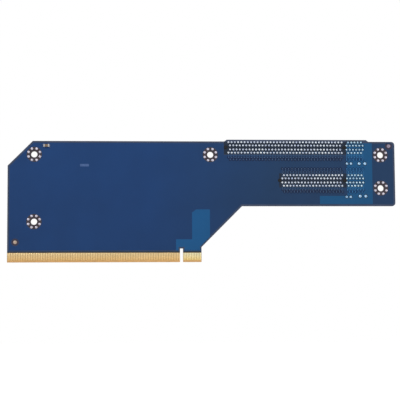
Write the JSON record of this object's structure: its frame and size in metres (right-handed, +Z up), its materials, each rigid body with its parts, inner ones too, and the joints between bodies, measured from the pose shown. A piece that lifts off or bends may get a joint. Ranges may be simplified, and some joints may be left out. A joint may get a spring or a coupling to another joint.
{
  "type": "pcie riser card",
  "caption": "Flat blue riser board with a gold edge connector and an offset arm that holds two expansion slots on its component side.",
  "frame": {"origin": "middle of the polarising key notch on the contact edge, in the board's mid-plane", "axes": "+X along the contact edge towards the arm, +Y out of the component side where the slots stand, +Z up from the contact edge towards the arm"},
  "size_m": [0.237, 0.0143, 0.0749],
  "materials": {
    "mask": "semi-gloss blue solder mask over glass-epoxy laminate",
    "gold": "hard gold plating over nickel and copper",
    "contact": "gold-plated phosphor bronze springs",
    "solder": "bright tin solder",
    "bare_copper": "tinned copper, satin",
    "housing": "glass-filled black thermoplastic, fine texture",
    "can": "satin drawn aluminium",
    "chip_ceramic": "tan fired ceramic"
  },
  "bodies": {
    "root": {"circuit_board": "mask", "solder_side_fingers": "gold", "component_side_fingers": "gold", "solder_side_screw_lands": "solder", "sighting_marks": "bare_copper", "x16_slot_housing": "housing", "x16_contacts_row_a": "contact", "x16_contacts_row_b": "contact", "x16_solder_joints": "solder", "x8_slot_housing": "housing", "x8_contacts_row_a": "contact", "x8_contacts_row_b": "contact", "x8_solder_joints": "solder", "upper_small_capacitor_can": "can", "upper_large_capacitor_can": "can", "lower_small_capacitor_can": "can", "lower_large_capacitor_can": "can", "capacitor_leads": "solder", "capacitor_solder_joints": "solder", "solder_side_chip_bodies": "chip_ceramic", "solder_side_chip_ends": "solder", "component_side_chip_bodies": "chip_ceramic", "component_side_chip_ends": "solder"}
  },
  "joints": []
}
